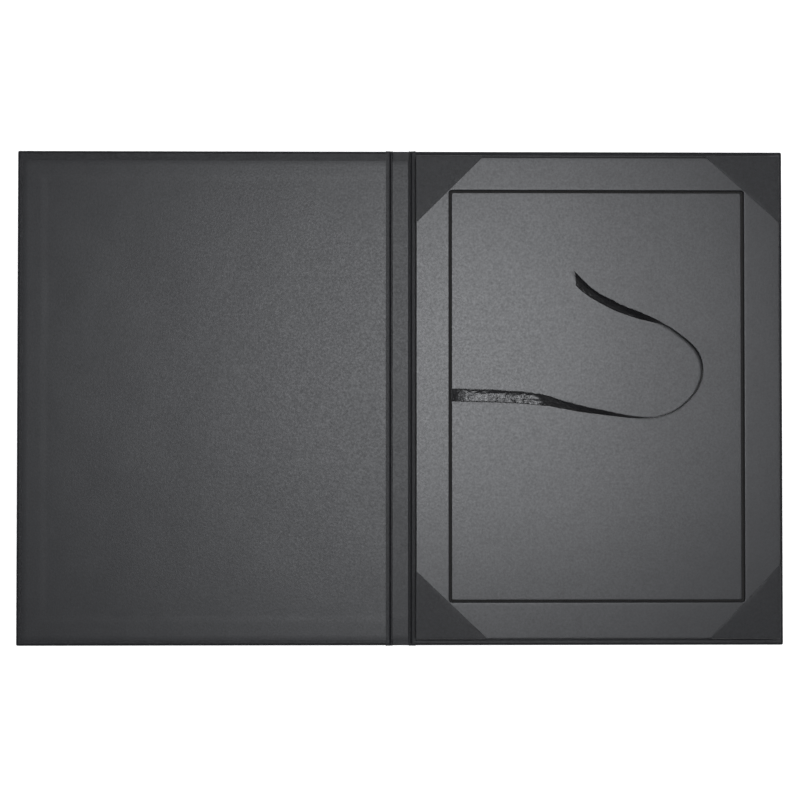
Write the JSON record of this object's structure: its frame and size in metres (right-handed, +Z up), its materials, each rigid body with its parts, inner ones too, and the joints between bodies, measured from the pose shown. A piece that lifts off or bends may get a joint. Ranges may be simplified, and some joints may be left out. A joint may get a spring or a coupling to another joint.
{
  "type": "presentation box",
  "caption": "Book-style hard case, open flat, with a framed tray on the base board, a lift-out panel and a satin pull ribbon.",
  "frame": {"origin": "middle of the spine's underside, on the surface that the open box lies on", "axes": "+X from the spine towards the base board's fore edge, +Y towards the head, +Z up"},
  "size_m": [0.564, 0.3648, 0.0221],
  "materials": {
    "leatherette": "fine-grained dark charcoal leatherette, satin",
    "liner_paper": "charcoal textured paper with a soft sheen",
    "greyboard": "plain grey bookbinding board, matte",
    "satin_ribbon": "near-black satin weave"
  },
  "bodies": {
    "base": {"base_board": "greyboard", "base_wrap": "leatherette", "base_liner": "liner_paper", "base_hinge_cloth": "leatherette", "rail_top": "greyboard", "rail_bottom": "greyboard", "rail_left": "greyboard", "rail_right": "greyboard", "frame_board": "greyboard", "frame_paper": "liner_paper", "corner_top_left": "leatherette", "corner_top_right": "leatherette", "corner_bottom_left": "leatherette", "corner_bottom_right": "leatherette", "insert_board": "greyboard", "insert_paper": "liner_paper", "pull_ribbon": "satin_ribbon"},
    "spine": {"spine_board": "greyboard", "spine_wrap": "leatherette", "spine_liner": "liner_paper"},
    "cover": {"cover_board": "greyboard", "cover_wrap": "leatherette", "cover_liner": "liner_paper", "cover_hinge_cloth": "leatherette"}
  },
  "joints": [
    {"name": "spine_hinge", "type": "hinge", "parent": "base", "child": "spine", "pos_m": [0.0079, 0, 0.00017], "axis": [0, 1, 0], "range_deg": [0, 90], "deforming": ["base_hinge_cloth"]},
    {"name": "cover_hinge", "type": "hinge", "parent": "spine", "child": "cover", "pos_m": [-0.0079, 0, 0.00017], "axis": [0, 1, 0], "range_deg": [0, 90], "deforming": ["cover_hinge_cloth", "pull_ribbon"]}
  ]
}
